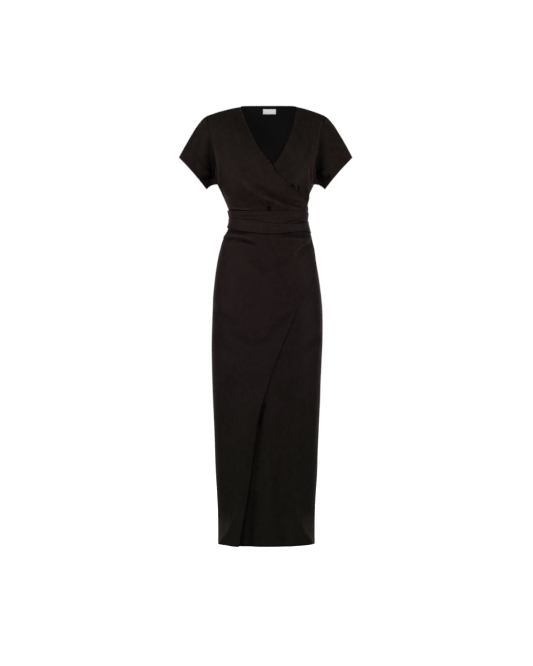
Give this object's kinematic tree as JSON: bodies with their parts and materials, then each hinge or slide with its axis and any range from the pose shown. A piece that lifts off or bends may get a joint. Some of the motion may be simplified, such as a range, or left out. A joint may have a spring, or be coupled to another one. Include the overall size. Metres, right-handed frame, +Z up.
{
  "type": "wrap dress",
  "caption": "Long dark wrap dress with a crossed V neck, short set-in sleeves, a folded sash at the waist and an overlapping skirt front, filled out as if worn.",
  "frame": {"origin": "on the body's middle line at the level of the high shoulder points, where the wearer's shoulders carry the dress", "axes": "+Z up; the front of the dress faces -Y; +X is the side of the wearer's left arm"},
  "size_m": [0.5516, 0.2612, 1.3986],
  "materials": {
    "dress_cloth": "sand-washed satin",
    "neck_label": "woven label"
  },
  "bodies": {
    "root": {"bodice_front_outer": "dress_cloth", "bodice_front_inner": "dress_cloth", "bodice_back": "dress_cloth", "sleeve_left": "dress_cloth", "sleeve_right": "dress_cloth", "skirt_front_outer": "dress_cloth", "skirt_front_inner": "dress_cloth", "skirt_back": "dress_cloth", "sash": "dress_cloth", "neck_label": "neck_label"}
  },
  "joints": []
}
